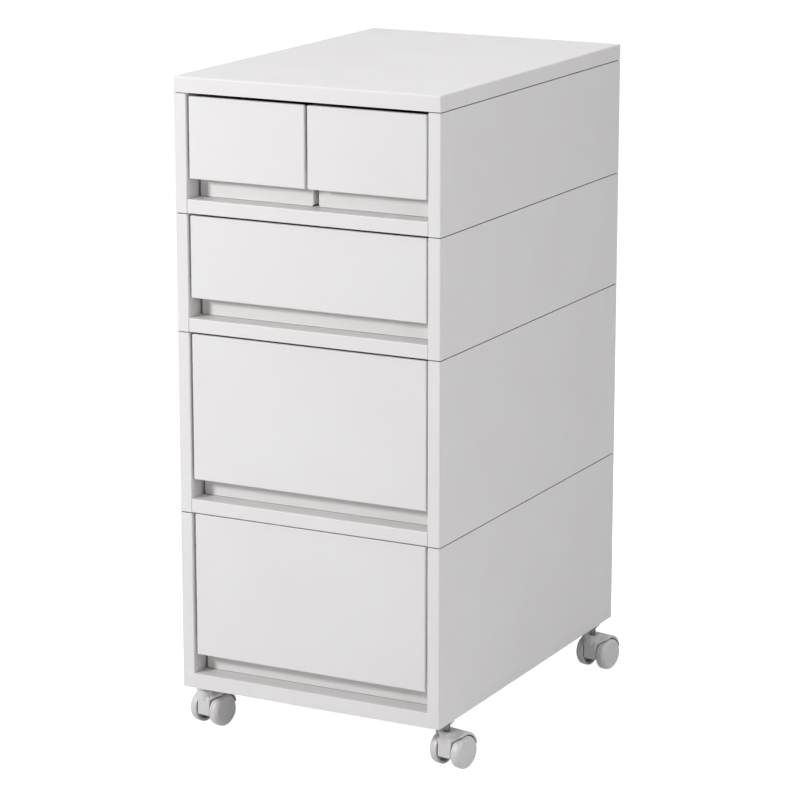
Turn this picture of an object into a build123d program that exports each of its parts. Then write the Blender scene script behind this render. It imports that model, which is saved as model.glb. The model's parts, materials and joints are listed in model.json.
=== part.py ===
from build123d import *
from collections import namedtuple
from math import cos, hypot, radians, sin
import os

# Drawer cabinet of four stacked tiers on twin-wheel castors. Millimetres, +Z up, front towards -Y.
# The origin is on the ground under the middle of the cabinet.

# Cabinet body
CABINET_WIDTH = 260.0
CABINET_DEPTH = 370.0
SHALLOW_TIER_HEIGHT = 106.0
DEEP_TIER_HEIGHT = 165.0
TOP_THICKNESS = 14.0
SIDE_THICKNESS = 12.0
FLOOR_THICKNESS = 12.5
BASE_THICKNESS = 14.0
BACK_THICKNESS = 4.0
BACK_REBATE = 5.0
TOP_EDGE_ROUND = 1.4
CORNER_ROUND = 1.4
PANEL_EDGE_ROUND = 0.8

# Moulded panels are a skin with ribs on their hidden face
PANEL_SKIN = 3.0
RIB_THICKNESS = 2.5
POCKET_PITCH = 70.0
POCKET_BORDER = 24.0

# Joints between the panels
FIT_CLEARANCE = 0.2
SEAM_GAP = 0.9
SEAM_DEPTH = 2.0
TONGUE_HEIGHT = 4.0
TONGUE_END_INSET = 20.0
PEG_WIDTH = 6.0
PEG_LENGTH = 20.0
PEG_REACH = 8.0
PEG_INSET = 60.0
PEG_WALL = 1.0

# Drawer openings and fronts
FINGER_SLOT_HEIGHT = 18.0
FINGER_POCKET_RISE = 15.0
FRONT_SETBACK = 1.5
FRONT_THICKNESS = 4.0
FRONT_EDGE_ROUND = 1.2
FRONT_SIDE_GAP = 1.9
LOWEST_FRONT_SIDE_GAP = 2.5
SMALL_FRONT_GAP = 2.5
TOP_FRONT_GAP = 3.0
MIDDLE_FRONT_GAP = 2.0
LOWEST_FRONT_GAP = 1.0
LUG_WIDTH = 14.0
LUG_HEIGHT = 4.0
LUG_CLEARANCE = 0.15

# Drawer bins
BIN_WALL = 2.2
BIN_RECESS = 19.5
BIN_SIDE_GAP = 2.0
BIN_REAR_GAP = 0.5
SMALL_BIN_GAP = 4.8
BIN_CORNER_ROUND = 1.2
BIN_INSIDE_ROUND = 2.5
RIM_BEAD_REACH = 1.0
RIM_BEAD_HEIGHT = 4.0
DIVIDER_THICKNESS = 2.0
DIVIDER_SETBACK = 30.0
DIVIDER_GROOVE = 1.2

# Slides and stops
DRAWER_TRAVEL = 275.0
SLIDE_CLEARANCE = 0.3
SLIDE_RIB_WIDTH = 6.0
SLIDE_RIB_HEIGHT = 1.2
SLIDE_RIB_INSET = 18.0
RUNNER_WIDTH = 1.6
STOP_WIDTH = 16.0
STOP_THICKNESS = 3.0
STOP_DROP = 4.0
STOP_TAB_GAP = 1.0
RIM_TO_STOP = 1.5
STOP_TAB_ROOT = 6.0
TRAVEL_SPARE = 0.3

# Castors
WHEEL_RADIUS = 15.0
WHEEL_WIDTH = 8.7
WHEEL_DISC_RADIUS = 12.4
WHEEL_BEVEL_DEPTH = 2.4
WHEEL_DISC_ROUND = 0.5
WHEEL_TREAD_ROUND = 1.2
WHEEL_INNER_ROUND = 0.8
WHEEL_GAP = 0.8
HOOD_WEB_WIDTH = 14.5
HOOD_WEB_SETBACK = 1.2
HOOD_WEB_DROP = 4.5
HOOD_WEB_ROUND = 2.0
CROWN_GAP = 0.8
CROWN_THICKNESS = 2.8
CROWN_TAPER = 2.0
CROWN_WIDTH = 29.5
CROWN_FRONT_ANGLE = 138.0
CROWN_CORNER_ANGLE = 112.0
CROWN_REAR_ANGLE = 14.0
CROWN_EDGE_ROUND = 1.2
COLLAR_RADIUS = 7.6
COLLAR_ROOT_RADIUS = 5.2
COLLAR_HEIGHT = 10.6
COLLAR_RISE = 1.0
COLLAR_EDGE_ROUND = 0.6
STEM_RADIUS = 3.0
STEM_SEAT_DEPTH = 15.0
STEM_NECK = 7.4
STEM_FLANGE_RADIUS = 5.0
STEM_FLANGE_THICKNESS = 1.8
SOCKET_RADIUS = 4.6
SOCKET_FLANGE_RADIUS = 6.6
SOCKET_FLANGE_THICKNESS = 1.2
SOCKET_DEPTH = 11.0
AXLE_RADIUS = 2.0
AXLE_COVER = 2.0
TURN_CLEARANCE = 0.05
END_CLEARANCE = 0.3
CASTOR_TRAIL = 9.2
CASTOR_SIDE_INSET = 7.0
CASTOR_END_INSET = 29.0
CASTOR_YAW = 10.5

# Planes of the cabinet
outer_x = CABINET_WIDTH / 2
inner_x = outer_x - SIDE_THICKNESS
tongue_reach = (SIDE_THICKNESS - PEG_WIDTH) / 2 - PEG_WALL
front_y = -CABINET_DEPTH / 2
rear_y = CABINET_DEPTH / 2
back_face_y = rear_y - BACK_THICKNESS

# Heights of the castors, which carry the cabinet
crown_radius = WHEEL_RADIUS + CROWN_GAP + CROWN_THICKNESS
wheel_space_radius = WHEEL_RADIUS + CROWN_GAP
collar_top = WHEEL_RADIUS + crown_radius + COLLAR_RISE
stem_flange_bottom = collar_top + STEM_NECK
stem_flange_top = stem_flange_bottom + STEM_FLANGE_THICKNESS
body_bottom = stem_flange_top + SOCKET_FLANGE_THICKNESS

# Heights of the tiers, from the lowest up
base_top = body_bottom + BASE_THICKNESS
tier4_top = body_bottom + DEEP_TIER_HEIGHT
tier3_top = tier4_top + DEEP_TIER_HEIGHT
tier2_top = tier3_top + SHALLOW_TIER_HEIGHT
tier1_top = tier2_top + SHALLOW_TIER_HEIGHT
body_top = tier1_top + TOP_THICKNESS

# A tier's floor_top is the ledge its drawers stand over, and its top is the ceiling above them
Tier = namedtuple("Tier", "name bottom floor_top top front_gap front_side_gap")
TIERS = [
    Tier("tier1", tier2_top, tier2_top + FLOOR_THICKNESS, tier1_top, TOP_FRONT_GAP, FRONT_SIDE_GAP),
    Tier("tier2", tier3_top, tier3_top + FLOOR_THICKNESS, tier2_top, MIDDLE_FRONT_GAP, FRONT_SIDE_GAP),
    Tier("tier3", tier4_top, tier4_top + FLOOR_THICKNESS, tier3_top, MIDDLE_FRONT_GAP, FRONT_SIDE_GAP),
    Tier("tier4", body_bottom, base_top, tier4_top, LOWEST_FRONT_GAP, LOWEST_FRONT_SIDE_GAP),
]
TOP_TIER, SECOND_TIER, THIRD_TIER, LOWEST_TIER = TIERS

# A drawer has its bin between bin_x and its front between front_x
Drawer = namedtuple("Drawer", "name tier bin_x front_x")


def single_drawer(name, tier):
    """A drawer as wide as its tier's opening."""
    bin_edge = inner_x - BIN_SIDE_GAP
    front_edge = inner_x - tier.front_side_gap
    return Drawer(name, tier, (-bin_edge, bin_edge), (-front_edge, front_edge))


def small_drawers(tier):
    """Two drawers side by side in one tier."""
    bin_x = (SMALL_BIN_GAP / 2, inner_x - BIN_SIDE_GAP)
    front_x = (SMALL_FRONT_GAP / 2, inner_x - tier.front_side_gap)
    left = Drawer("small_left", tier, (-bin_x[1], -bin_x[0]), (-front_x[1], -front_x[0]))
    right = Drawer("small_right", tier, bin_x, front_x)
    return [left, right]


DRAWERS = small_drawers(TOP_TIER) + [
    single_drawer("shallow", SECOND_TIER),
    single_drawer("upper_deep", THIRD_TIER),
    single_drawer("lower_deep", LOWEST_TIER),
]

# Fore and aft places that the bins and the stops share
bin_low_front_y = front_y + BIN_RECESS
bin_high_front_y = front_y + FRONT_SETBACK + FRONT_THICKNESS
bin_rear_y = back_face_y - BIN_REAR_GAP
stop_tab_front_y = bin_rear_y - STOP_THICKNESS
stop_rear_y = stop_tab_front_y - DRAWER_TRAVEL - TRAVEL_SPARE
peg_ys = (front_y + PEG_INSET, rear_y - PEG_INSET)


def block(x, y, z):
    """A box between two values along each axis."""
    size = Box(x[1] - x[0], y[1] - y[0], z[1] - z[0], align=Align.MIN)
    return Pos(x[0], y[0], z[0]) * size


def edges_at(solid, x=None, y=None, z=None):
    """Edges whose middle lies on each given plane."""
    found = solid.edges()
    for axis, place in (("X", x), ("Y", y), ("Z", z)):
        if place is not None:
            found = found.filter_by(lambda edge: abs(getattr(edge.center(), axis) - place) < 1e-6)
    return found


def spread(low, high, pitch):
    """Equal cells between two values, with ribs between them."""
    count = max(1, round((high - low) / pitch))
    step = (high - low + RIB_THICKNESS) / count
    return [(low + i * step, low + (i + 1) * step - RIB_THICKNESS) for i in range(count)]


def drawer_pair(drawer, inset):
    """The two places across a bin, each as far in from its walls."""
    return drawer.bin_x[0] + inset, drawer.bin_x[1] - inset


def pegs(z, clearance=0.0):
    """Four pegs at the seam at height z, or their sockets with a clearance."""
    half_width = PEG_WIDTH / 2 + clearance
    half_length = PEG_LENGTH / 2 + clearance
    half_height = PEG_REACH + clearance
    middle_x = outer_x - SIDE_THICKNESS / 2
    found = []
    for x in (-middle_x, middle_x):
        for y in peg_ys:
            across = (x - half_width, x + half_width)
            along = (y - half_length, y + half_length)
            found.append(block(across, along, (z - half_height, z + half_height)))
    return found


def underside_pockets(x_reach, y, z_bottom, thickness):
    """Pockets under a flat panel, which leave its skin, border and ribs."""
    xs = spread(-x_reach + POCKET_BORDER, x_reach - POCKET_BORDER, POCKET_PITCH)
    ys = spread(y[0] + POCKET_BORDER, y[1] - POCKET_BORDER, POCKET_PITCH)
    z = (z_bottom, z_bottom + thickness - PANEL_SKIN)
    return [block(cell_x, cell_y, z) for cell_x in xs for cell_y in ys]


def stop_columns(tier, z):
    """Blocks over the stops of a tier's drawers, between two heights."""
    along = (stop_rear_y - STOP_THICKNESS, stop_rear_y)
    found = []
    for drawer in DRAWERS:
        if drawer.tier is tier:
            for x in drawer_pair(drawer, SLIDE_RIB_INSET):
                found.append(block((x - STOP_WIDTH / 2, x + STOP_WIDTH / 2), along, z))
    return found


def drawer_stops(tier):
    """Stops that hang from the ceiling of a tier and end its drawers' travel."""
    return Compound(children=stop_columns(tier, (tier.top - STOP_DROP, tier.top)))


def stop_pads(tier, panel_thickness):
    """Full thickness in the panel over a tier, where its drawers' stops are bonded on."""
    return stop_columns(tier, (tier.top, tier.top + panel_thickness - PANEL_SKIN / 2))


def slide_ribs(tier):
    """Raised ribs on a floor that the bins run on."""
    found = []
    for drawer in DRAWERS:
        if drawer.tier is tier:
            for x in drawer_pair(drawer, SLIDE_RIB_INSET):
                across = (x - SLIDE_RIB_WIDTH / 2, x + SLIDE_RIB_WIDTH / 2)
                along = (bin_low_front_y + SLIDE_RIB_WIDTH, back_face_y)
                z = (tier.floor_top - PANEL_SKIN / 2, tier.floor_top + SLIDE_RIB_HEIGHT)
                found.append(block(across, along, z))
    return found


def floor_tongues(tier, clearance=0.0):
    """Tongues on a floor's two side edges, or their grooves with a clearance."""
    middle = tier.bottom + FLOOR_THICKNESS / 2
    reach = inner_x + tongue_reach + clearance
    along = (front_y + TONGUE_END_INSET - clearance, back_face_y - TONGUE_END_INSET + clearance)
    z = (middle - TONGUE_HEIGHT / 2 - clearance, middle + TONGUE_HEIGHT / 2 + clearance)
    root = inner_x - RIB_THICKNESS
    return [block((-reach, -root), along, z), block((root, reach), along, z)]


def top_board():
    """The board that closes the highest tier."""
    z = (tier1_top, body_top)
    board = block((-outer_x, outer_x), (front_y, rear_y), z)
    board = fillet(board.edges().filter_by(Axis.Z), CORNER_ROUND)
    board = fillet(edges_at(board, z=body_top), TOP_EDGE_ROUND)
    board -= underside_pockets(outer_x, (front_y, rear_y), tier1_top, TOP_THICKNESS)
    board += stop_pads(TOP_TIER, TOP_THICKNESS)
    board -= pegs(tier1_top, FIT_CLEARANCE)
    return board


def tier_floor(tier, tier_below):
    """A floor between two side panels, with the rail under the drawer opening as its front edge."""
    slab = block((-inner_x, inner_x), (front_y, back_face_y), (tier.bottom, tier.floor_top))
    slab = fillet(edges_at(slab, y=front_y), PANEL_EDGE_ROUND)
    slab -= underside_pockets(inner_x, (front_y, back_face_y), tier.bottom, FLOOR_THICKNESS)
    slab += floor_tongues(tier)
    slab += slide_ribs(tier)
    slab += stop_pads(tier_below, FLOOR_THICKNESS)
    if tier is TOP_TIER:
        slab -= divider(FIT_CLEARANCE)
    return slab


def base_panel():
    """The panel under the lowest tier, which carries the side panels and the castor sockets."""
    slab = block((-outer_x, outer_x), (front_y, rear_y), (body_bottom, base_top))
    slab = fillet(slab.edges().filter_by(Axis.Z), CORNER_ROUND)
    slab = fillet(edges_at(slab, z=body_bottom), PANEL_EDGE_ROUND)
    slab -= underside_pockets(outer_x, (front_y, rear_y), body_bottom, BASE_THICKNESS)
    slab += slide_ribs(LOWEST_TIER)
    slab -= pegs(base_top, FIT_CLEARANCE)
    for x, y in castor_places().values():
        depth = SOCKET_DEPTH + FIT_CLEARANCE
        slab -= Pos(x, y, body_bottom) * Cylinder(SOCKET_RADIUS + TURN_CLEARANCE, 2 * depth)
    return slab


def seam_gap(z):
    """The narrow gap that shows round the cabinet where two tiers meet, just under the seam."""
    gap = block((-outer_x, outer_x), (front_y, rear_y), (z - SEAM_GAP, z))
    kept_x = outer_x - SEAM_DEPTH
    return gap - block((-kept_x, kept_x), (front_y + SEAM_DEPTH, rear_y - SEAM_DEPTH), (z - SEAM_GAP, z))


def side_panel(tier, side):
    """A side panel of one tier. side is -1 for the left one and 1 for the right one."""
    stands_on_base = tier is LOWEST_TIER
    bottom = tier.floor_top if stands_on_base else tier.bottom
    x = sorted((side * inner_x, side * outer_x))
    panel = block(x, (front_y, rear_y), (bottom, tier.top))
    panel = fillet(edges_at(panel, x=side * outer_x).filter_by(Axis.Z), CORNER_ROUND)
    panel = fillet(edges_at(panel, x=side * inner_x, y=front_y), PANEL_EDGE_ROUND)
    panel -= seam_gap(tier.top)
    pocket_x = sorted((side * inner_x, side * (outer_x - PANEL_SKIN)))
    pocket_bottom = tier.floor_top + RIB_THICKNESS
    if stands_on_base:
        pocket_bottom = bottom + PEG_REACH + RIB_THICKNESS
    pocket_top = tier.top - PEG_REACH - RIB_THICKNESS
    for y in spread(front_y + POCKET_BORDER, rear_y - POCKET_BORDER, POCKET_PITCH):
        for z in spread(pocket_bottom, pocket_top, POCKET_PITCH):
            panel -= block(pocket_x, y, z)
    if not stands_on_base:
        panel -= floor_tongues(tier, FIT_CLEARANCE)
    rebate_x = sorted((side * inner_x, side * (inner_x + BACK_REBATE)))
    panel -= block(rebate_x, (back_face_y, rear_y), (bottom, tier.top))
    panel -= pegs(tier.top, FIT_CLEARANCE)
    panel -= pegs(bottom, FIT_CLEARANCE)
    return panel


def back_panel(tier):
    """The back of one tier, set in the rebates of its side panels."""
    bottom = tier.floor_top if tier is LOWEST_TIER else tier.bottom
    reach = inner_x + BACK_REBATE - FIT_CLEARANCE
    panel = block((-reach, reach), (back_face_y, rear_y), (bottom, tier.top))
    return fillet(edges_at(panel, y=rear_y), PANEL_EDGE_ROUND)


def divider(clearance=0.0):
    """The guide between the two small drawers, or its groove with a clearance."""
    half = DIVIDER_THICKNESS / 2 + clearance
    along = (bin_low_front_y + DIVIDER_SETBACK - clearance, back_face_y)
    z = (TOP_TIER.floor_top - DIVIDER_GROOVE - clearance, TOP_TIER.top - STOP_TAB_GAP)
    return block((-half, half), along, z)


def front_lugs(drawer, clearance=0.0):
    """Lugs that key a drawer front to its bin, or their slots with a clearance."""
    low, high = finger_pocket_top(drawer.tier) + BIN_WALL, bin_rim(drawer.tier)
    along = (bin_high_front_y - clearance, bin_high_front_y + BIN_WALL + clearance)
    middle = (low + high) / 2
    z = (middle - LUG_HEIGHT / 2 - clearance, middle + LUG_HEIGHT / 2 + clearance)
    found = []
    for x in drawer_pair(drawer, SLIDE_RIB_INSET):
        across = (x - LUG_WIDTH / 2 - clearance, x + LUG_WIDTH / 2 + clearance)
        found.append(block(across, along, z))
    return found


def front_bottom(tier):
    """Height of a drawer front's lower edge."""
    return tier.floor_top + FINGER_SLOT_HEIGHT


def finger_pocket_top(tier):
    """Height up to which fingers reach behind a drawer front."""
    return front_bottom(tier) + FINGER_POCKET_RISE


def bin_rim(tier):
    """Height of a bin's rim, under the stops on the ceiling."""
    return tier.top - STOP_DROP - RIM_TO_STOP


def drawer_front(drawer):
    """The flat front of a drawer, with its lugs."""
    y = (front_y + FRONT_SETBACK, bin_high_front_y)
    z = (front_bottom(drawer.tier), drawer.tier.top - drawer.tier.front_gap)
    panel = block(drawer.front_x, y, z)
    panel = fillet(panel.edges(), FRONT_EDGE_ROUND)
    return panel + front_lugs(drawer)


def side_outline(low_front, high_front, rear, bottom, step, top):
    """A bin's outline seen from the side: its lower front is set back under a step."""
    points = [(rear, bottom), (low_front, bottom), (low_front, step)]
    points += [(high_front, step), (high_front, top), (rear, top)]
    return make_face(Polyline(*points, close=True))


def across(outline, x):
    """Stretch a side outline from one x to another."""
    return extrude(Plane.YZ.offset(x[0]) * outline, x[1] - x[0])


def drawer_bin(drawer):
    """An open bin with a finger recess under its front, a skirt, runners, rim beads and stop tabs."""
    tier = drawer.tier
    x0, x1 = drawer.bin_x
    wall = BIN_WALL
    bottom = tier.floor_top + SLIDE_RIB_HEIGHT + SLIDE_CLEARANCE
    step = finger_pocket_top(tier)
    rim = bin_rim(tier)
    outside = side_outline(bin_low_front_y, bin_high_front_y, bin_rear_y, bottom, step, rim)
    shell = fillet(across(outside, (x0, x1)).edges().filter_by(Axis.Z), BIN_CORNER_ROUND)
    inside = side_outline(
        bin_low_front_y + wall,
        bin_high_front_y + wall,
        bin_rear_y - wall,
        bottom + wall,
        step + wall,
        rim + wall,
    )
    hollow = fillet(across(inside, (x0 + wall, x1 - wall)).edges().filter_by(Axis.Z), BIN_INSIDE_ROUND)
    shell -= hollow
    skirt_x = (x0 + BIN_CORNER_ROUND, x1 - BIN_CORNER_ROUND)
    skirt_y = (bin_low_front_y, bin_low_front_y + wall)
    shell += block(skirt_x, skirt_y, (tier.floor_top + SLIDE_CLEARANCE, bottom + wall / 2))
    bead_y = (bin_high_front_y + wall, bin_rear_y - wall)
    bead_z = (rim - RIM_BEAD_HEIGHT, rim)
    shell += block((x0 - RIM_BEAD_REACH, x0 + wall / 2), bead_y, bead_z)
    shell += block((x1 - wall / 2, x1 + RIM_BEAD_REACH), bead_y, bead_z)
    runner_y = (bin_low_front_y + SLIDE_RIB_WIDTH, bin_rear_y - wall)
    runner_z = (bottom - SLIDE_RIB_HEIGHT, bottom + wall / 2)
    tab_y = (stop_tab_front_y, bin_rear_y)
    tab_z = (rim - STOP_TAB_ROOT, tier.top - STOP_TAB_GAP)
    for x, outward in zip(drawer_pair(drawer, SLIDE_RIB_INSET), (-1, 1)):
        near = x + outward * (SLIDE_RIB_WIDTH / 2 + SLIDE_CLEARANCE)
        shell += block(sorted((near, near + outward * RUNNER_WIDTH)), runner_y, runner_z)
        shell += block((x - STOP_WIDTH / 2, x + STOP_WIDTH / 2), tab_y, tab_z)
    return shell - front_lugs(drawer, LUG_CLEARANCE)


def castor_places():
    """The stem axis of each castor."""
    x = outer_x - CASTOR_SIDE_INSET
    front = front_y + CASTOR_END_INSET
    rear = rear_y - CASTOR_END_INSET
    return {
        "front_left": (-x, front),
        "front_right": (x, front),
        "rear_left": (-x, rear),
        "rear_right": (x, rear),
    }


def castor_sockets():
    """The flanged sleeves in the base panel that take the castor stems."""
    found = []
    for x, y in castor_places().values():
        bottom = body_bottom - SOCKET_FLANGE_THICKNESS
        flange = Pos(x, y, bottom) * Cylinder(
            SOCKET_FLANGE_RADIUS, SOCKET_FLANGE_THICKNESS, align=(Align.CENTER, Align.CENTER, Align.MIN)
        )
        sleeve = Pos(x, y, bottom) * Cylinder(
            SOCKET_RADIUS,
            SOCKET_FLANGE_THICKNESS + SOCKET_DEPTH,
            align=(Align.CENTER, Align.CENTER, Align.MIN),
        )
        bore = Pos(x, y, body_bottom) * Cylinder(STEM_RADIUS + TURN_CLEARANCE, 3 * SOCKET_DEPTH)
        found.append(flange + sleeve - bore)
    return Compound(children=found)


# A castor is built with its stem on the Z axis and its wheels behind the stem, then turned and placed
web_half = HOOD_WEB_WIDTH / 2
wheel_inner_x = web_half + WHEEL_GAP
wheel_outer_x = wheel_inner_x + WHEEL_WIDTH
axle_end_x = wheel_outer_x - AXLE_COVER - END_CLEARANCE
axle_centre = Pos(0, CASTOR_TRAIL, WHEEL_RADIUS)
seat_bottom = collar_top - STEM_SEAT_DEPTH


def upright(radius, z0, z1):
    """A round bar on the stem axis."""
    length = z1 - z0
    return Pos(0, 0, z0) * Cylinder(radius, length, align=(Align.CENTER, Align.CENTER, Align.MIN))


def round_bar(radius, x0, x1):
    """A round bar on the axle's line."""
    bar = Pos((x0 + x1) / 2, 0, 0) * Rot(0, 90, 0) * Cylinder(radius, x1 - x0)
    return axle_centre * bar


def castor_stem():
    """The pin that the hood swivels on, with the flange that carries the cabinet."""
    stem = upright(STEM_RADIUS, seat_bottom + END_CLEARANCE, body_bottom + SOCKET_DEPTH)
    return stem + upright(STEM_FLANGE_RADIUS, stem_flange_bottom, stem_flange_top)


def crown_sector(radius):
    """The part of a disc round the axle that the crown spans, seen from the side."""
    middle_angle = (CROWN_FRONT_ANGLE + CROWN_REAR_ANGLE) / 2
    corners = [(0, 0)]
    for angle in (CROWN_REAR_ANGLE, middle_angle, CROWN_FRONT_ANGLE):
        corners.append((3 * radius * cos(radians(angle)), 3 * radius * sin(radians(angle))))
    outline = Pos(0, CROWN_TAPER) * Circle(radius - CROWN_TAPER)
    return outline & make_face(Polyline(*corners, close=True))


def round_axle(angle):
    """A direction round the axle, in degrees from level at the rear."""
    return Vector(0, cos(radians(angle)), sin(radians(angle)))


def crown_slant(side):
    """The plane that slants the crown's front end back from the web to its outer corner."""
    low = round_axle(CROWN_FRONT_ANGLE) * crown_radius + Vector(side * web_half, 0, 0)
    high = round_axle(CROWN_CORNER_ANGLE) * crown_radius + Vector(side * CROWN_WIDTH / 2, 0, 0)
    outward = round_axle((CROWN_FRONT_ANGLE + CROWN_CORNER_ANGLE) / 2)
    return Plane(low, x_dir=high - low, z_dir=outward.cross(high - low) * side)


def castor_hood():
    """The web between the wheels, the crown over them and the collar round the stem."""
    reach = WHEEL_RADIUS - HOOD_WEB_SETBACK
    below = Pos(0, -HOOD_WEB_DROP - reach) * Rectangle(3 * reach, 2 * reach)
    front_edge = Pos(-reach / 2, (reach - HOOD_WEB_DROP) / 2) * Rectangle(reach, reach + HOOD_WEB_DROP)
    plate = Circle(reach) + front_edge - below
    web = extrude(Plane.YZ * plate, web_half, both=True)
    web = fillet(edges_at(web, z=-HOOD_WEB_DROP).filter_by(Axis.Y), HOOD_WEB_ROUND)
    crown = extrude(Plane.YZ * crown_sector(crown_radius), CROWN_WIDTH / 2, both=True)
    outer_reach = 0.9 * crown_radius
    outer = crown.edges().filter_by(lambda edge: hypot(edge.center().Y, edge.center().Z) > outer_reach)
    crown = fillet(outer, CROWN_EDGE_ROUND)
    for side in (-1, 1):
        crown = split(crown, bisect_by=crown_slant(side), keep=Keep.TOP)
    collar = Pos(0, 0, collar_top - COLLAR_HEIGHT) * Cone(
        COLLAR_ROOT_RADIUS, COLLAR_RADIUS, COLLAR_HEIGHT, align=(Align.CENTER, Align.CENTER, Align.MIN)
    )
    collar = fillet(edges_at(collar, z=collar_top), COLLAR_EDGE_ROUND)
    hood = axle_centre * web + axle_centre * crown + collar
    for side in (-1, 1):
        space = sorted((side * web_half, side * 2 * wheel_outer_x))
        hood -= round_bar(wheel_space_radius, *space)
    hood -= upright(STEM_RADIUS + TURN_CLEARANCE, seat_bottom, collar_top + END_CLEARANCE)
    return hood - round_bar(AXLE_RADIUS, -web_half, web_half)


def castor_axle():
    """The pin that both wheels turn on."""
    return round_bar(AXLE_RADIUS, -axle_end_x, axle_end_x)


def castor_wheel(side):
    """A wheel with a plain bevelled disc outside. side is -1 for the left one and 1 for the right one."""
    bore = AXLE_RADIUS + TURN_CLEARANCE
    bore_end = wheel_outer_x - AXLE_COVER
    bevel_start = wheel_outer_x - WHEEL_BEVEL_DEPTH
    points = [(wheel_inner_x, bore), (wheel_inner_x, WHEEL_RADIUS), (bevel_start, WHEEL_RADIUS)]
    points += [(wheel_outer_x, WHEEL_DISC_RADIUS), (wheel_outer_x, 0), (bore_end, 0), (bore_end, bore)]
    wheel = revolve(make_face(Polyline(*points, close=True)), Axis.X)
    inner = edges_at(wheel, x=wheel_inner_x).filter_by(lambda edge: edge.radius > bore + 1e-6)
    wheel = fillet(inner, WHEEL_INNER_ROUND)
    wheel = fillet(edges_at(wheel, x=bevel_start), WHEEL_TREAD_ROUND)
    wheel = fillet(edges_at(wheel, x=wheel_outer_x), WHEEL_DISC_ROUND)
    if side < 0:
        wheel = mirror(wheel, Plane.YZ)
    return axle_centre * wheel


def castor_pieces():
    """The pieces of one castor by name."""
    return {
        "stem": castor_stem(),
        "hood": castor_hood(),
        "axle": castor_axle(),
        "wheel_left": castor_wheel(-1),
        "wheel_right": castor_wheel(1),
    }


def cabinet_pieces():
    """Every piece of the cabinet by its node name."""
    pieces = {"top_board": top_board(), "pegs_under_top": Compound(children=pegs(tier1_top))}
    for tier, tier_below in zip(TIERS, TIERS[1:] + [None]):
        pieces[tier.name + "_left_side"] = side_panel(tier, -1)
        pieces[tier.name + "_right_side"] = side_panel(tier, 1)
        pieces[tier.name + "_back"] = back_panel(tier)
        pieces[tier.name + "_stops"] = drawer_stops(tier)
        if tier_below:
            pieces[tier.name + "_floor"] = tier_floor(tier, tier_below)
            pieces["pegs_under_" + tier.name] = Compound(children=pegs(tier.bottom))
    pieces["base_panel"] = base_panel()
    pieces["pegs_over_base"] = Compound(children=pegs(base_top))
    pieces["tier1_divider"] = divider()
    for drawer in DRAWERS:
        pieces[drawer.name + "_bin"] = drawer_bin(drawer)
        pieces[drawer.name + "_front"] = drawer_front(drawer)
    pieces["castor_sockets"] = castor_sockets()
    castor = castor_pieces()
    for place, (x, y) in castor_places().items():
        for name, solid in castor.items():
            pieces["castor_" + place + "_" + name] = Pos(x, y, 0) * Rot(0, 0, -CASTOR_YAW) * solid
    return pieces


os.makedirs("parts", exist_ok=True)
for node, piece in cabinet_pieces().items():
    export_step(piece, "parts/" + node + ".step")
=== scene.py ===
import json
from math import atan2, cos, hypot, pi, radians, sin

import bmesh
import bpy
from bpy.props import FloatProperty, FloatVectorProperty, PointerProperty
from mathutils import Matrix, Vector


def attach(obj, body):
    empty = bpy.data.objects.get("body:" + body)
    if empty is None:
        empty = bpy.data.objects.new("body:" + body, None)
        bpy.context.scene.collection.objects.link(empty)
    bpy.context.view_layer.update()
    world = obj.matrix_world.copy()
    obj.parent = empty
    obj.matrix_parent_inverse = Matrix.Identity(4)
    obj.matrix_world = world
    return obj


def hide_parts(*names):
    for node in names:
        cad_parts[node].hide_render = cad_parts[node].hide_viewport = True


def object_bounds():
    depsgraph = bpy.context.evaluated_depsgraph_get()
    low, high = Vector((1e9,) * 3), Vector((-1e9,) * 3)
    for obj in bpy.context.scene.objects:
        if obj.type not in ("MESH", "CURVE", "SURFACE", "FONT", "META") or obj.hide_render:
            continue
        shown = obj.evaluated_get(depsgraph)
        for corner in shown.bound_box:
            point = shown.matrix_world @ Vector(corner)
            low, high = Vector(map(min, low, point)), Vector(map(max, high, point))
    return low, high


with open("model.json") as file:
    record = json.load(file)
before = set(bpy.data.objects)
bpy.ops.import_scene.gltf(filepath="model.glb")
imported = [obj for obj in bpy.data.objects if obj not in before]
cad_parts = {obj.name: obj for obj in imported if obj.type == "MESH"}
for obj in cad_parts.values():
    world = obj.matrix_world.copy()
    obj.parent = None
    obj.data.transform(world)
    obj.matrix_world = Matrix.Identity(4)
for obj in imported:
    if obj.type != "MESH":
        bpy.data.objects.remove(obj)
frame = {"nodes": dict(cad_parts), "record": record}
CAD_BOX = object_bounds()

bl_info = {
    "name": "Drawer Cabinet Dressing",
    "version": (1, 0, 0),
    "blender": (4, 5, 0),
    "location": "View3D > Sidebar > Drawer Cabinet",
    "description": "Finishes a drawer cabinet on castors and sets it in a plain studio",
    "category": "Object",
}

MILLIMETRE = 0.001
PLACES = ("front_left", "front_right", "rear_left", "rear_right")
SIDES = ("left", "right")
DRAWERS = ("small_left", "small_right", "shallow", "upper_deep", "lower_deep")
JOINTS = {joint["name"]: joint for joint in frame["record"]["behaviour"]["joints"]}

# Finishes: middle range of a noise, the edge mask for the painted highlight and the gap mask for the painted
# shade, and how a painted-highlight edge differs from a face
NOISE_LOW, NOISE_HIGH = 0.3, 0.7
FACE_LIKENESS, EDGE_LIKENESS = 0.995, 0.90
# Painted shade: occlusion levels at which the painted darkening of narrow gaps is full and at which it ends
GAP_OPENNESS, FACE_OPENNESS = 0.15, 0.6
DULL_SHADE = (0.975, 0.975, 0.97)
# Painted highlight: how much paler than the face the edges are painted
PAINTED_HIGHLIGHT_SHADE = (1.10, 1.10, 1.10)
EDGE_POLISH = 0.1
GLOSS_SPREAD = 0.05
GLOSS_PATCHES = 6
BEVEL_SAMPLES = 4
OCCLUSION_SAMPLES = 6
TARNISH_SHADE = (0.7, 0.7, 0.7)

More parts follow.
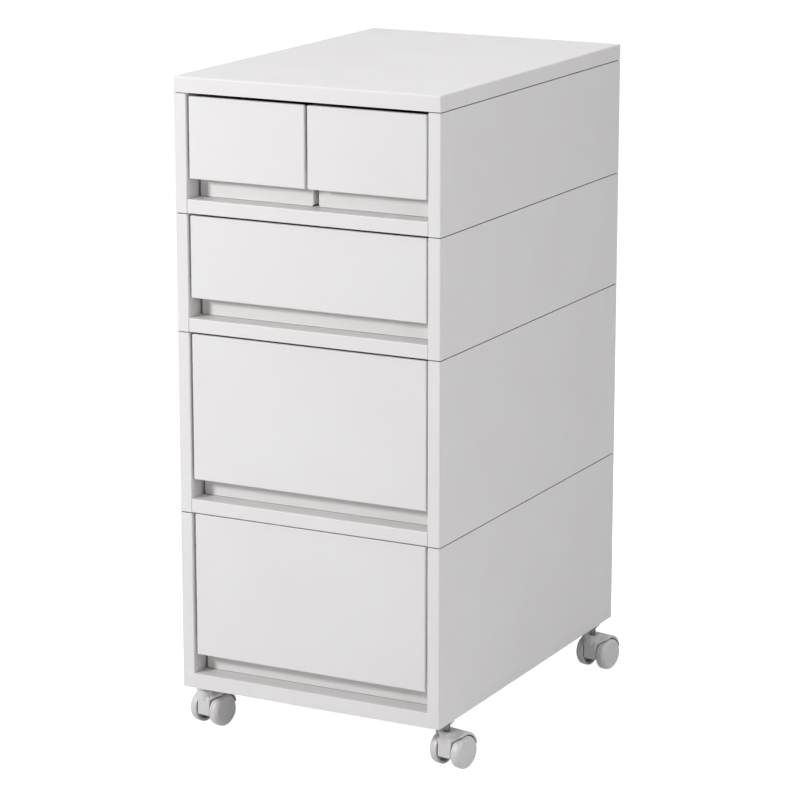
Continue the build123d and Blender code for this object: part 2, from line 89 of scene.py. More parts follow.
# Meshes: how finely they are rounded, and which angles count as sharp
ROUND_SIDES = 96
BORE_SIDES = 48
FINE_SEGMENTS = 3
ROUND_SEGMENTS = 4
TREAD_SEGMENTS = 5
SHARP_ANGLE = radians(35.0)
WEB_SHARP_ANGLE = radians(60.0)
HOOD_SHARP_ANGLE = radians(40.0)
SOFTENING_PASSES = 12
KEPT_FACES = 0.35
SAME_PLANE = 1e-6
SAME_RADIUS = 1e-5


def size_property(name, description, default):
    """A length in metres."""
    return FloatProperty(
        name=name, description=description, default=default, min=0.0, subtype="DISTANCE", unit="LENGTH",
    )


def colour_property(name, description, default):
    """A colour in linear values."""
    return FloatVectorProperty(
        name=name, description=description, default=default, size=3, min=0.0, max=1.0, subtype="COLOR",
    )


def factor_property(name, description, default):
    """A share from 0 to 1."""
    return FloatProperty(
        name=name, description=description, default=default, min=0.0, max=1.0, subtype="FACTOR",
    )


def angle_property(name, description, degrees):
    """An angle, given in degrees."""
    return FloatProperty(
        name=name, description=description, default=radians(degrees), subtype="ANGLE", unit="ROTATION",
    )


def place_property(name, description, default):
    """A place in metres."""
    return FloatVectorProperty(
        name=name, description=description, default=default, size=3, subtype="TRANSLATION", unit="LENGTH",
    )


def lamp_property(name, description, default):
    """A lamp's power in watts."""
    return FloatProperty(name=name, description=description, default=default, min=0.0, unit="POWER")


class CabinetFinishSettings(bpy.types.PropertyGroup):
    panel_colour: colour_property("Panels", "Off-white of the cabinet's panels", (0.814, 0.797, 0.798))
    front_colour: colour_property("Drawer fronts", "Off-white of the drawer fronts", (0.812, 0.798, 0.798))
    bin_colour: colour_property("Drawer bins", "Off-white of the drawer bins", (0.84, 0.827, 0.825))
    peg_colour: colour_property("Pegs", "Off-white of the stacking pegs and stops", (0.73, 0.72, 0.715))
    hood_colour: colour_property("Castor hoods", "Light grey of the castor hoods", (0.70, 0.69, 0.687))
    wheel_colour: colour_property("Castor wheels", "Light grey of the castor wheels", (0.70, 0.69, 0.687))
    steel_colour: colour_property("Steel", "Grey of the castor stems and axles", (0.14, 0.14, 0.145))
    panel_roughness: factor_property("Panel roughness", "Mean roughness of the moulded panels", 0.46)
    castor_roughness: factor_property("Castor roughness", "Mean roughness of the castors", 0.40)
    # Painted highlight: the band along edges is painted paler than the face, and made smoother
    edge_width: size_property(
        "Edge width", "Width of the paler, smoother band along worn edges", 0.8 * MILLIMETRE,
    )
    # Painted shade: the next two settings darken narrow gaps in the plastic's own colour
    painted_gap_shade_reach: size_property(
        "Painted shade reach", "How near two faces must stand to darken each other", 2.5 * MILLIMETRE,
    )
    painted_gap_shade: factor_property(
        "Painted gap shade", "How much of its colour the plastic keeps in a narrow gap", 0.25,
    )
    panel_clouds: size_property("Panel clouds", "Size of the faint clouds in the panels' colour", 0.07)
    castor_clouds: size_property("Castor clouds", "Size of the faint clouds in the castors' colour", 0.012)
    steel_tarnish: size_property("Steel tarnish", "Size of the dull patches on the steel", 0.004)
    steel_gloss: size_property("Steel gloss", "Size of the patches of uneven gloss on the steel", 0.002)
    steel_smooth: factor_property("Steel smooth", "Roughness of the steel where it is smoothest", 0.28)
    steel_rough: factor_property("Steel rough", "Roughness of the steel where it is roughest", 0.5)
    steel_grain: size_property("Steel grain", "Size of the fine grain of the steel", 0.0004)
    steel_grain_depth: size_property("Steel grain depth", "Depth of the fine grain of the steel", 0.00001)
    grain_size: size_property(
        "Moulded grain", "Size of the fine grain of the moulded panels", 0.9 * MILLIMETRE,
    )
    grain_depth: size_property("Grain depth", "Depth of the fine grain", 0.012 * MILLIMETRE)


class CastorSettings(bpy.types.PropertyGroup):
    wheel_radius: size_property("Wheel radius", "Radius of a wheel's tread", 15.0 * MILLIMETRE)
    wheel_inner: size_property(
        "Wheel inner face", "Distance of a wheel's inner face from the middle", 8.05 * MILLIMETRE,
    )
    wheel_outer: size_property(
        "Wheel outer face", "Distance of a wheel's outer face from the middle", 16.75 * MILLIMETRE,
    )
    disc_radius: size_property("Disc radius", "Radius of the flat disc outside a wheel", 12.4 * MILLIMETRE)
    bevel_depth: size_property("Bevel depth", "Depth of the bevel round the disc", 2.4 * MILLIMETRE)
    tread_round: size_property("Tread round", "Rounding between the tread and the bevel", 1.2 * MILLIMETRE)
    lip_width: size_property("Lip width", "Width of the fine lip round the disc", 0.7 * MILLIMETRE)
    lip_height: size_property("Lip height", "Height of the fine lip round the disc", 0.35 * MILLIMETRE)
    rim_wall: size_property(
        "Rim wall", "Thickness of a wheel's rim, seen from the inside", 2.4 * MILLIMETRE,
    )
    dish_depth: size_property("Dish depth", "Depth of the hollow inside a wheel", 4.5 * MILLIMETRE)
    hub_radius: size_property("Hub radius", "Radius of a wheel's hub", 4.2 * MILLIMETRE)
    bore_radius: size_property("Bore radius", "Radius of the hole for the axle", 2.05 * MILLIMETRE)
    bore_depth: size_property("Bore depth", "Depth of the hole for the axle", 6.7 * MILLIMETRE)
    web_width: size_property("Web width", "Width of the hood between the wheels", 14.5 * MILLIMETRE)
    web_setback: size_property(
        "Web setback", "How far the web lies behind the wheels' front", 1.2 * MILLIMETRE,
    )
    web_drop: size_property("Web drop", "How far the web reaches below the axle", 4.5 * MILLIMETRE)
    web_round: size_property("Web round", "Rounding of the web's lower edges", 1.8 * MILLIMETRE)
    crown_gap: size_property("Crown gap", "Gap between the crown and the wheels", 0.8 * MILLIMETRE)
    crown_thickness: size_property(
        "Crown thickness", "Thickness of the crown over the wheels", 2.8 * MILLIMETRE,
    )
    crown_taper: size_property(
        "Crown taper", "How much thinner the crown is at the axle's level", 2.0 * MILLIMETRE,
    )
    crown_width: size_property("Crown width", "Width of the crown over both wheels", 29.5 * MILLIMETRE)
    crown_round: size_property("Crown round", "Rounding of the crown's edges", 1.2 * MILLIMETRE)
    collar_radius: size_property(
        "Collar radius", "Radius of the collar round the stem at its top", 7.6 * MILLIMETRE,
    )
    collar_root: size_property("Collar root", "Radius of the collar at its foot", 5.2 * MILLIMETRE)
    collar_height: size_property("Collar height", "Height of the collar", 10.6 * MILLIMETRE)
    collar_rise: size_property("Collar rise", "How far the collar stands above the crown", 1.0 * MILLIMETRE)
    stem_bore: size_property("Stem bore", "Radius of the hole for the stem", 3.1 * MILLIMETRE)
    stem_seat: size_property("Stem seat", "Depth of the hole for the stem", 15.0 * MILLIMETRE)
    mould_detail: size_property(
        "Mould detail", "Size of the smallest form kept on a hood", 0.4 * MILLIMETRE,
    )
    crown_front: angle_property(
        "Crown front", "Where the crown ends in front, from level at the rear", 138.0,
    )
    crown_corner: angle_property("Crown corner", "Where the crown's outer corners end in front", 112.0)
    crown_rear: angle_property(
        "Crown rear", "Where the crown ends at the rear, from level at the rear", 14.0,
    )


class StudioSettings(bpy.types.PropertyGroup):
    camera_place: place_property("Camera", "Where the camera stands", (1.3413, -2.5879, 0.999))
    camera_pitch: angle_property("Pitch", "How far the camera looks down", 13.737)
    camera_yaw: angle_property("Yaw", "How far the camera turns to the left", 27.48)
    sensor_width: FloatProperty(
        name="Sensor", description="Width of the camera's sensor", default=36.0, min=1.0, unit="CAMERA",
    )
    focal_length: FloatProperty(
        name="Focal length", description="Focal length of the lens", default=146.83, min=1.0, unit="CAMERA",
    )
    key_place: place_property(
        "Key place", "Front left lamp, from the middle of the cabinet", (-0.98, -1.58, 0.72),
    )
    top_place: place_property("Top place", "Lamp above, from the middle of the cabinet", (0.0, 0.0, 1.9))
    side_place: place_property(
        "Side place", "Right lamp, from the middle of the cabinet", (1.35, -0.5, 0.5),
    )
    key_power: lamp_property("Key", "Soft light from the front left", 20.6)
    key_size: size_property("Key size", "Width of the front left lamp", 0.3)
    top_power: lamp_property("Top", "Soft light from above", 17.0)
    side_power: lamp_property("Side", "Soft light from the right", 5.9)
    top_size: size_property("Top size", "Width of the lamp above", 1.6)
    side_size: size_property("Side size", "Width of the right lamp", 0.9)
    sky_level: FloatProperty(
        name="Sky", description="Level of the even light all round", default=0.2, min=0.0,
    )
    floor_colour: colour_property("Floor", "Pale colour of the floor", (0.72, 0.72, 0.72))
    floor_size: size_property("Floor size", "Width of the floor", 40.0)
    floor_glow: factor_property(
        "Floor glow", "White that the camera sees on the floor besides its own colour", 0.9,
    )


def new_material(name):
    """An empty node material with its output, and the shader that feeds it."""
    material = bpy.data.materials.new(name)
    material.use_nodes = True
    tree = material.node_tree
    tree.nodes.clear()
    output = tree.nodes.new("ShaderNodeOutputMaterial")
    shader = tree.nodes.new("ShaderNodeBsdfPrincipled")
    tree.links.new(shader.outputs["BSDF"], output.inputs["Surface"])
    return material, tree, shader


def noise(tree, size, detail=3.0):
    """Cloudy noise on the object's own coordinates, with patches of about the given size."""
    place = tree.nodes.new("ShaderNodeTexCoord")
    texture = tree.nodes.new("ShaderNodeTexNoise")
    texture.inputs["Scale"].default_value = 1.0 / size
    texture.inputs["Detail"].default_value = detail
    tree.links.new(place.outputs["Object"], texture.inputs["Vector"])
    return texture.outputs["Fac"]


def ranged(tree, value, low, high):
    """Spread a noise's middle range between two values."""
    node = tree.nodes.new("ShaderNodeMapRange")
    node.inputs["From Min"].default_value = NOISE_LOW
    node.inputs["From Max"].default_value = NOISE_HIGH
    node.inputs["To Min"].default_value = low
    node.inputs["To Max"].default_value = high
    tree.links.new(value, node.inputs["Value"])
    return node.outputs["Result"]


def mixed_colour(tree, value, first, second):
    """Go from one colour to another as a value goes from 0 to 1."""
    node = tree.nodes.new("ShaderNodeMix")
    node.data_type = "RGBA"
    node.inputs["A"].default_value = (*first, 1.0)
    node.inputs["B"].default_value = (*second, 1.0)
    tree.links.new(value, node.inputs["Factor"])
    return node.outputs["Result"]


def shaded(colour, factors):
    """A colour with each channel multiplied."""
    return tuple(channel * factor for channel, factor in zip(colour, factors))


def add_grain(tree, shader, size, depth):
    """Fine moulded grain in the surface."""
    bump = tree.nodes.new("ShaderNodeBump")
    bump.inputs["Strength"].default_value = 1.0
    bump.inputs["Distance"].default_value = depth
    tree.links.new(noise(tree, size, 2.0), bump.inputs["Height"])
    tree.links.new(bump.outputs["Normal"], shader.inputs["Normal"])


def painted_highlight_and_polish_edges(tree, width):
    """1 along the edges of a piece, 0 on its flat faces: the mask for the painted highlight and the smoother
    roughness on edges.
    """
    rounded = tree.nodes.new("ShaderNodeBevel")
    rounded.samples = BEVEL_SAMPLES
    rounded.inputs["Radius"].default_value = width
    surface = tree.nodes.new("ShaderNodeNewGeometry")
    likeness = tree.nodes.new("ShaderNodeVectorMath")
    likeness.operation = "DOT_PRODUCT"
    tree.links.new(rounded.outputs["Normal"], likeness.inputs[0])
    tree.links.new(surface.outputs["Normal"], likeness.inputs[1])
    edge = tree.nodes.new("ShaderNodeMapRange")
    edge.inputs["From Min"].default_value = FACE_LIKENESS
    edge.inputs["From Max"].default_value = EDGE_LIKENESS
    tree.links.new(likeness.outputs["Value"], edge.inputs["Value"])
    return edge.outputs["Result"]


def painted_shade_openness(tree, reach):
    """0 deep in a narrow gap, 1 on open faces and in plain corners: the mask for the painted shade in gaps.
    """
    occlusion = tree.nodes.new("ShaderNodeAmbientOcclusion")
    occlusion.samples = OCCLUSION_SAMPLES
    occlusion.inputs["Distance"].default_value = reach
    node = tree.nodes.new("ShaderNodeMapRange")
    node.inputs["From Min"].default_value = GAP_OPENNESS
    node.inputs["From Max"].default_value = FACE_OPENNESS
    tree.links.new(occlusion.outputs["AO"], node.inputs["Value"])
    return node.outputs["Result"]


def moulded_plastic(name, colour, roughness, finish, cloud_size):
    """Matt moulded plastic: clouded, unevenly glossy and grained, with a painted highlight that makes edges
    paler and smoother, and painted shade that darkens narrow gaps.
    """
    material, tree, shader = new_material(name)
    clouds = ranged(tree, noise(tree, cloud_size), 0.0, 1.0)
    dull = shaded(colour, DULL_SHADE)
    face = mixed_colour(tree, clouds, dull, colour)
    edge = painted_highlight_and_polish_edges(tree, finish.edge_width)
    # Painted highlight: edges get a paler colour than the face
    pale = tree.nodes.new("ShaderNodeMix")
    pale.data_type = "RGBA"
    pale.inputs["B"].default_value = (*shaded(colour, PAINTED_HIGHLIGHT_SHADE), 1.0)
    tree.links.new(edge, pale.inputs["Factor"])
    tree.links.new(face, pale.inputs["A"])
    # Painted shade: narrow gaps are darkened in the colour itself
    painted_gap_shade_mix = tree.nodes.new("ShaderNodeMix")
    painted_gap_shade_mix.data_type = "RGBA"
    painted_gap_shade_mix.inputs["A"].default_value = (*(channel * finish.painted_gap_shade for channel in colour), 1.0)
    tree.links.new(painted_shade_openness(tree, finish.painted_gap_shade_reach), painted_gap_shade_mix.inputs["Factor"])
    tree.links.new(pale.outputs["Result"], painted_gap_shade_mix.inputs["B"])
    tree.links.new(painted_gap_shade_mix.outputs["Result"], shader.inputs["Base Color"])
    patches = noise(tree, cloud_size / GLOSS_PATCHES)
    gloss = ranged(tree, patches, roughness - GLOSS_SPREAD, roughness + GLOSS_SPREAD)
    smoother = tree.nodes.new("ShaderNodeMath")
    smoother.operation = "MULTIPLY_ADD"
    smoother.inputs[1].default_value = -EDGE_POLISH
    tree.links.new(edge, smoother.inputs[0])
    tree.links.new(gloss, smoother.inputs[2])
    tree.links.new(smoother.outputs["Value"], shader.inputs["Roughness"])
    add_grain(tree, shader, finish.grain_size, finish.grain_depth)
    return material


def turned_steel(name, finish):
    """Steel with dull patches, uneven gloss and a fine grain."""
    colour = finish.steel_colour
    material, tree, shader = new_material(name)
    shader.inputs["Metallic"].default_value = 1.0
    tarnish = ranged(tree, noise(tree, finish.steel_tarnish), 0.0, 1.0)
    face = mixed_colour(tree, tarnish, shaded(colour, TARNISH_SHADE), colour)
    tree.links.new(face, shader.inputs["Base Color"])
    gloss = ranged(tree, noise(tree, finish.steel_gloss), finish.steel_smooth, finish.steel_rough)
    tree.links.new(gloss, shader.inputs["Roughness"])
    add_grain(tree, shader, finish.steel_grain, finish.steel_grain_depth)
    return material


def paint(obj, material):
    """Give an object one material."""
    obj.data.materials.clear()
    obj.data.materials.append(material)


class CABINET_OT_finish_panels(bpy.types.Operator):
    """Finish the top board, the tiers' panels, the base panel, the divider, the stops and the pegs"""
    bl_idname = "cabinet.finish_panels"
    bl_label = "Finish Panels"

    def execute(self, context):
        finish = context.scene.cabinet_finish
        gloss, clouds = finish.panel_roughness, finish.panel_clouds
        panel = moulded_plastic("off_white_panel", finish.panel_colour, gloss, finish, clouds)
        peg = moulded_plastic("off_white_peg", finish.peg_colour, gloss, finish, clouds)
        for name, node in frame["nodes"].items():
            if name.startswith("pegs") or name.endswith("_stops"):
                paint(node, peg)
            elif name.startswith("tier") or name in ("top_board", "base_panel"):
                paint(node, panel)
        return {"FINISHED"}


class CABINET_OT_finish_drawers(bpy.types.Operator):
    """Finish the drawer fronts and the drawer bins"""
    bl_idname = "cabinet.finish_drawers"
    bl_label = "Finish Drawers"

    def execute(self, context):
        finish = context.scene.cabinet_finish
        gloss, clouds = finish.panel_roughness, finish.panel_clouds
        front = moulded_plastic("off_white_front", finish.front_colour, gloss, finish, clouds)
        inside = moulded_plastic("off_white_bin", finish.bin_colour, gloss, finish, clouds)
        for drawer in DRAWERS:
            paint(frame["nodes"][drawer + "_front"], front)
            paint(frame["nodes"][drawer + "_bin"], inside)
        return {"FINISHED"}


def select_only(*objects):
    """Select the given objects and nothing else, the first one active."""
    bpy.ops.object.select_all(action="DESELECT")
    for obj in objects:
        obj.select_set(True)
    bpy.context.view_layer.objects.active = objects[0]


def add_bar(radius, x0, x1, z=0.0):
    """A round bar along X between two places, at a height."""
    bpy.ops.object.select_all(action="DESELECT")
    bpy.ops.mesh.primitive_cylinder_add(
        vertices=ROUND_SIDES, radius=radius, depth=x1 - x0,
        location=((x0 + x1) / 2, 0.0, z), rotation=(0.0, pi / 2, 0.0),
    )
    bpy.ops.object.transform_apply()
    return bpy.context.object


def apply_modifier(obj, kind, **values):
    """Add a modifier with the given values to an object and apply it."""
    select_only(obj)
    modifier = obj.modifiers.new(kind.lower(), kind)
    for name, value in values.items():
        setattr(modifier, name, value)
    bpy.ops.object.modifier_apply(modifier=modifier.name)


def round_edges(obj, width, angle):
    """Round the edges of an object that are sharper than an angle."""
    apply_modifier(
        obj, "BEVEL", width=width, segments=ROUND_SEGMENTS, limit_method="ANGLE", angle_limit=angle,
    )


def cut_away(obj, tool):
    """Take the tool's space out of an object, and delete the tool."""
    apply_modifier(obj, "BOOLEAN", operation="DIFFERENCE", object=tool, solver="EXACT")
    bpy.data.objects.remove(tool)


def select_disc(obj, x):
    """In edit mode, select the one flat face that lies across the axle's line at x."""
    mesh = bmesh.from_edit_mesh(obj.data)
    for face in mesh.faces:
        across = all(abs(vertex.co.x - x) < SAME_PLANE for vertex in face.verts)
        face.select_set(across and len(face.verts) == ROUND_SIDES)
    bmesh.update_edit_mesh(obj.data)


def select_ring(obj, x, radius):
    """In edit mode, select the ring of edges at x with the given radius."""
    mesh = bmesh.from_edit_mesh(obj.data)
    for edge in mesh.edges:
        places = [vertex.co for vertex in edge.verts]
        across = all(abs(place.x - x) < SAME_PLANE for place in places)
        around = all(abs(hypot(place.y, place.z) - radius) < SAME_RADIUS for place in places)
        edge.select_set(across and around)
    bmesh.update_edit_mesh(obj.data)


def narrow_disc(x, ratio):
    """Scale the selected disc about the axle's line."""
    bpy.ops.transform.resize(value=(1.0, ratio, ratio), center_override=(x, 0.0, 0.0))


def push(x):
    """Extrude the selected face along the axle's line."""
    bpy.ops.mesh.extrude_region_move(TRANSFORM_OT_translate={"value": (x, 0.0, 0.0)})


def model_wheel(castor):
    """The right wheel about its axle: a bevelled disc with a fine lip outside, a dish and a hub inside."""
    radius = castor.wheel_radius
    inner, outer = castor.wheel_inner, castor.wheel_outer
    bevel_start = outer - castor.bevel_depth
    wheel = add_bar(radius, inner, bevel_start)
    bpy.ops.object.mode_set(mode="EDIT")
    bpy.ops.mesh.select_mode(type="FACE")
    select_disc(wheel, bevel_start)
    push(castor.bevel_depth)
    narrow_disc(outer, castor.disc_radius / radius)
    bpy.ops.mesh.inset(thickness=castor.lip_width)
    push(-castor.lip_height)
    narrow_disc(outer - castor.lip_height, 1.0 - castor.lip_height / castor.disc_radius)
    select_disc(wheel, inner)
    bpy.ops.mesh.inset(thickness=castor.rim_wall)
    push(castor.dish_depth)
    bpy.ops.mesh.inset(thickness=radius - castor.rim_wall - castor.hub_radius)
    push(-castor.dish_depth)
    bpy.ops.mesh.inset(thickness=castor.hub_radius - castor.bore_radius)
    push(castor.bore_depth)
    bpy.ops.mesh.select_mode(type="EDGE")
    select_ring(wheel, bevel_start, radius)
    bpy.ops.mesh.bevel(offset=castor.tread_round, segments=TREAD_SEGMENTS, affect="EDGES")
    select_ring(wheel, inner, radius)
    bpy.ops.mesh.bevel(offset=castor.tread_round / 2, segments=FINE_SEGMENTS, affect="EDGES")
    select_ring(wheel, outer, castor.disc_radius)
    bpy.ops.mesh.bevel(offset=castor.lip_height, segments=FINE_SEGMENTS, affect="EDGES")
    bpy.ops.mesh.select_all(action="SELECT")
    bpy.ops.mesh.normals_make_consistent(inside=False)
    bpy.ops.object.mode_set(mode="OBJECT")
    bpy.ops.object.shade_smooth_by_angle(angle=SHARP_ANGLE)
    return wheel


def keep_side(normal, place=(0.0, 0.0, 0.0)):
    """In edit mode, cut everything with a plane and keep the side that its normal points to."""
    bpy.ops.mesh.select_all(action="SELECT")
    bpy.ops.mesh.bisect(plane_co=place, plane_no=normal, use_fill=True, clear_inner=True)


def round_axle(angle):
    """A direction round the axle, from level at the rear."""
    return Vector((0.0, cos(angle), sin(angle)))


def model_crown(castor, radius):
    """The crown over both wheels: thick on top, thin behind, slanted back at its front corners."""
    half = castor.crown_width / 2
    crown = add_bar(radius - castor.crown_taper, -half, half, castor.crown_taper)
    bpy.ops.object.mode_set(mode="EDIT")
    rear = castor.crown_rear + pi / 2
    front = castor.crown_front - pi / 2
    keep_side((0.0, cos(rear), sin(rear)))
    keep_side((0.0, cos(front), sin(front)))
    for side in (-1, 1):
        low = round_axle(castor.crown_front) * radius + Vector((side * castor.web_width / 2, 0.0, 0.0))
        high = round_axle(castor.crown_corner) * radius + Vector((side * half, 0.0, 0.0))
        outward = round_axle((castor.crown_front + castor.crown_corner) / 2)
        keep_side((outward.cross(high - low) * side).normalized(), low)
    bpy.ops.object.mode_set(mode="OBJECT")
    round_edges(crown, castor.crown_round, SHARP_ANGLE)
    return crown


def model_web(castor):
    """The web between the wheels: round behind, a flat upright plate in front."""
    reach = castor.wheel_radius - castor.web_setback
    half = castor.web_width / 2
    web = add_bar(reach, -half, half)
    bpy.ops.object.mode_set(mode="EDIT")
    keep_side((0.0, 0.0, 1.0), (0.0, 0.0, -castor.web_drop))
    keep_side((0.0, 1.0, 0.0))
    bpy.ops.mesh.select_mode(type="FACE")
    mesh = bmesh.from_edit_mesh(web.data)
    for face in mesh.faces:
        face.select_set(face.normal.y < -0.99)
    bmesh.update_edit_mesh(web.data)
    bpy.ops.mesh.extrude_region_move(TRANSFORM_OT_translate={"value": (0.0, -reach, 0.0)})
    bpy.ops.object.mode_set(mode="OBJECT")
    round_edges(web, castor.web_round, WEB_SHARP_ANGLE)
    return web


def model_hood(castor, trail):
    """The castor's hood about its axle: web, crown and flared collar in one moulding."""
    crown_radius = castor.wheel_radius + castor.crown_gap + castor.crown_thickness
    collar_top = crown_radius + castor.collar_rise
    crown = model_crown(castor, crown_radius)
    web = model_web(castor)
    bpy.ops.object.select_all(action="DESELECT")
    bpy.ops.mesh.primitive_cone_add(
        vertices=ROUND_SIDES, radius1=castor.collar_root, radius2=castor.collar_radius,
        depth=castor.collar_height, location=(0.0, -trail, collar_top - castor.collar_height / 2),
    )
    bpy.ops.object.transform_apply()
    collar = bpy.context.object
    half = castor.web_width / 2
    for piece in (crown, collar):
        for low, high in ((-2 * castor.wheel_outer, -half), (half, 2 * castor.wheel_outer)):
            cut_away(piece, add_bar(castor.wheel_radius + castor.crown_gap, low, high))
    select_only(crown, web, collar)
    bpy.ops.object.join()
    hood = bpy.context.object
    apply_modifier(hood, "REMESH", mode="VOXEL", voxel_size=castor.mould_detail)
    apply_modifier(hood, "SMOOTH", factor=0.5, iterations=SOFTENING_PASSES)
    bpy.ops.object.select_all(action="DESELECT")
    bpy.ops.mesh.primitive_cylinder_add(
        vertices=BORE_SIDES, radius=castor.stem_bore, depth=2 * castor.stem_seat,
        location=(0.0, -trail, collar_top),
    )
    cut_away(hood, bpy.context.object)
    apply_modifier(hood, "DECIMATE", ratio=KEPT_FACES)
    select_only(hood)
    bpy.ops.object.shade_smooth_by_angle(angle=HOOD_SHARP_ANGLE)
    return hood


def place_copy(model, name, body, node, material, matrix):
    """Put a copy of a modelled piece at its place, riding on a body and standing for a node."""
    piece = bpy.data.objects.new(name, model.data.copy())
    bpy.context.scene.collection.objects.link(piece)
    piece.matrix_world = matrix
    select_only(piece)
    bpy.ops.object.transform_apply()
    paint(piece, material)
    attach(piece, body)
    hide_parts(node)


class CABINET_OT_model_castors(bpy.types.Operator):
    """Model the castors' hoods and wheels, and finish their stems, axles and sockets"""
    bl_idname = "cabinet.model_castors"
    bl_label = "Model Castors"

    def execute(self, context):
        finish = context.scene.cabinet_finish
        castor = context.scene.cabinet_castors
        gloss, clouds = finish.castor_roughness, finish.castor_clouds
        hood_finish = moulded_plastic("grey_hood", finish.hood_colour, gloss, finish, clouds)
        wheel_finish = moulded_plastic("grey_wheel", finish.wheel_colour, gloss, finish, clouds)
        steel = turned_steel("turned_steel", finish)
        paint(frame["nodes"]["castor_sockets"], hood_finish)
        spin = JOINTS["castor_front_right_wheel_right_spin"]
        swivel = JOINTS["castor_front_right_swivel"]
        trail = (Vector(spin["pos_m"]).xy - Vector(swivel["pos_m"]).xy).length
        yaw = atan2(spin["axis"][1], spin["axis"][0])
        hood = model_hood(castor, trail)
        wheel = model_wheel(castor)
        for place in PLACES:
            name = "castor_" + place
            axle = Vector(JOINTS[name + "_wheel_right_spin"]["pos_m"])
            at_axle = Matrix.Translation(axle) @ Matrix.Rotation(yaw, 4, "Z")
            place_copy(
                hood, name + "_moulded_hood", name, name + "_hood", hood_finish, at_axle
            )
            for side in SIDES:
                turn = Matrix.Rotation(pi if side == "left" else 0.0, 4, "Z")
                body = name + "_wheel_" + side
                place_copy(wheel, body + "_turned", body, body, wheel_finish, at_axle @ turn)
            paint(frame["nodes"][name + "_stem"], steel)
            paint(frame["nodes"][name + "_axle"], steel)
        for model in (hood, wheel):
            bpy.data.objects.remove(model)
        return {"FINISHED"}


def backdrop_rays(tree):
    """1 for rays that see the white background: the camera's, and those that mirrors and glass send on."""
    rays = tree.nodes.new("ShaderNodeLightPath")
    seen = tree.nodes.new("ShaderNodeMath")
    seen.operation = "MAXIMUM"
    tree.links.new(rays.outputs["Is Camera Ray"], seen.inputs[0])
    tree.links.new(rays.outputs["Is Glossy Ray"], seen.inputs[1])
    both = tree.nodes.new("ShaderNodeMath")
    both.operation = "MAXIMUM"
    tree.links.new(seen.outputs["Value"], both.inputs[0])
    tree.links.new(rays.outputs["Is Transmission Ray"], both.inputs[1])
    return both.outputs["Value"]


def add_lamp(name, place, aim, size, power):
    """A square soft lamp that looks at a point."""
    lamp = bpy.data.lights.new(name, "AREA")
    lamp.shape = "SQUARE"
    lamp.size = size
    lamp.energy = power
    obj = bpy.data.objects.new(name, lamp)
    obj.location = place
    obj.rotation_euler = (Vector(aim) - Vector(place)).to_track_quat("-Z", "Y").to_euler()
    bpy.context.scene.collection.objects.link(obj)


def floor_material(studio):
    """A pale floor that looks white to the camera and still takes the object's shadow."""
    material = bpy.data.materials.new("pale_floor")
    material.use_nodes = True
    tree = material.node_tree
    tree.nodes.clear()
    output = tree.nodes.new("ShaderNodeOutputMaterial")
    both = tree.nodes.new("ShaderNodeAddShader")
    matt = tree.nodes.new("ShaderNodeBsdfDiffuse")
    matt.inputs["Color"].default_value = (*studio.floor_colour, 1.0)
    glow = tree.nodes.new("ShaderNodeEmission")
    level = tree.nodes.new("ShaderNodeMath")
    level.operation = "MULTIPLY"
    level.inputs[1].default_value = studio.floor_glow
    tree.links.new(backdrop_rays(tree), level.inputs[0])
    tree.links.new(level.outputs["Value"], glow.inputs["Strength"])
    tree.links.new(matt.outputs["BSDF"], both.inputs[0])
    tree.links.new(glow.outputs["Emission"], both.inputs[1])
    tree.links.new(both.outputs["Shader"], output.inputs["Surface"])
    return material


def build_world(studio):
    """Even light all round, and white where the camera looks past the floor."""
    world = bpy.data.worlds.new("studio_sky")
    world.use_nodes = True
    tree = world.node_tree
    tree.nodes.clear()
    output = tree.nodes.new("ShaderNodeOutputWorld")
    sky = tree.nodes.new("ShaderNodeBackground")
    level = tree.nodes.new("ShaderNodeMapRange")
    level.inputs["To Min"].default_value = studio.sky_level
    level.inputs["To Max"].default_value = 1.0
    tree.links.new(backdrop_rays(tree), level.inputs["Value"])
    tree.links.new(level.outputs["Result"], sky.inputs["Strength"])
    sky.inputs["Color"].default_value = (1.0, 1.0, 1.0, 1.0)
    tree.links.new(sky.outputs["Background"], output.inputs["Surface"])
    bpy.context.scene.world = world


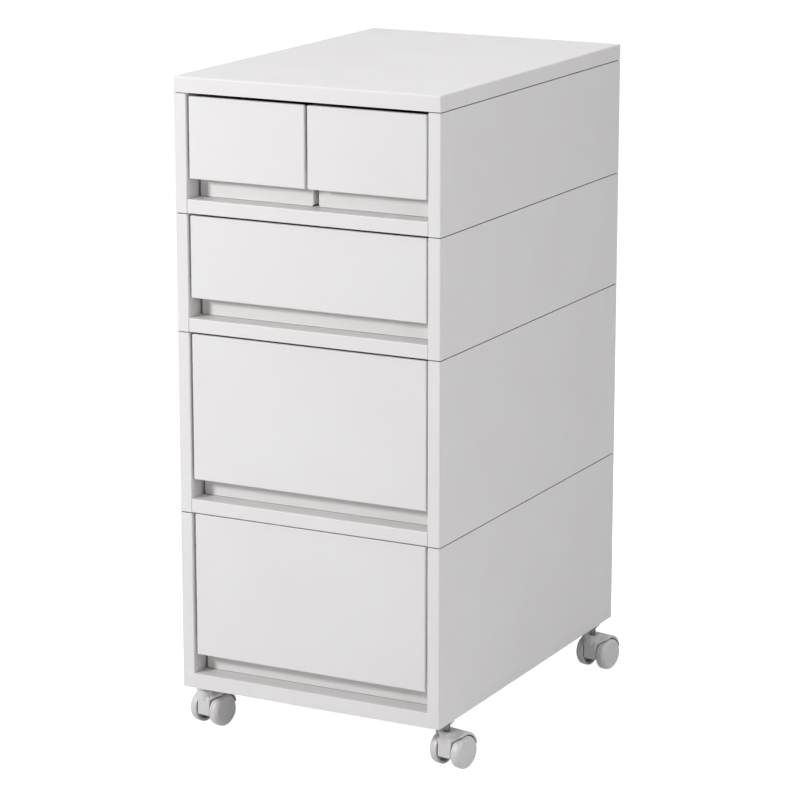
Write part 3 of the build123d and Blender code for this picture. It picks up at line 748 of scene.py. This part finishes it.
class CABINET_OT_build_studio(bpy.types.Operator):
    """Set up the floor, the lamps, the sky and the camera"""
    bl_idname = "cabinet.build_studio"
    bl_label = "Build Studio"

    def execute(self, context):
        studio = context.scene.cabinet_studio
        low, high = (Vector(corner) for corner in CAD_BOX)
        middle = (low + high) / 2
        bpy.ops.mesh.primitive_plane_add(size=studio.floor_size, location=(0.0, 0.0, low.z))
        floor = context.object
        floor.name = "studio_floor"
        paint(floor, floor_material(studio))
        add_lamp("key_lamp", middle + Vector(studio.key_place), middle, studio.key_size, studio.key_power)
        add_lamp("top_lamp", middle + Vector(studio.top_place), middle, studio.top_size, studio.top_power)
        add_lamp("side_lamp", middle + Vector(studio.side_place), middle, studio.side_size, studio.side_power)
        build_world(studio)
        camera = bpy.data.cameras.new("photo_camera")
        camera.sensor_width = studio.sensor_width
        camera.lens = studio.focal_length
        obj = bpy.data.objects.new("photo_camera", camera)
        obj.location = studio.camera_place
        obj.rotation_euler = (pi / 2 - studio.camera_pitch, 0.0, studio.camera_yaw)
        context.scene.collection.objects.link(obj)
        context.scene.camera = obj
        context.scene.view_settings.view_transform = "Standard"
        return {"FINISHED"}


class CABINET_PT_dressing(bpy.types.Panel):
    """Lists the cabinet's finishing steps"""
    bl_idname = "CABINET_PT_dressing"
    bl_label = "Drawer Cabinet"
    bl_space_type = "VIEW_3D"
    bl_region_type = "UI"
    bl_category = "Drawer Cabinet"

    def draw(self, context):
        for step in STEPS:
            self.layout.operator(step.bl_idname)


STEPS = (
    CABINET_OT_finish_panels,
    CABINET_OT_finish_drawers,
    CABINET_OT_model_castors,
    CABINET_OT_build_studio,
)
SETTINGS = {
    "cabinet_finish": CabinetFinishSettings,
    "cabinet_castors": CastorSettings,
    "cabinet_studio": StudioSettings,
}


def register():
    for cls in (*SETTINGS.values(), *STEPS, CABINET_PT_dressing):
        bpy.utils.register_class(cls)
    for name, group in SETTINGS.items():
        setattr(bpy.types.Scene, name, PointerProperty(type=group))


def unregister():
    for name in SETTINGS:
        delattr(bpy.types.Scene, name)
    for cls in (CABINET_PT_dressing, *reversed(STEPS), *SETTINGS.values()):
        bpy.utils.unregister_class(cls)


def main():
    register()
    bpy.ops.object.select_all(action="DESELECT")
    for step in STEPS:
        group, name = step.bl_idname.split(".")
        getattr(getattr(bpy.ops, group), name)()


if __name__ == "__main__":
    main()
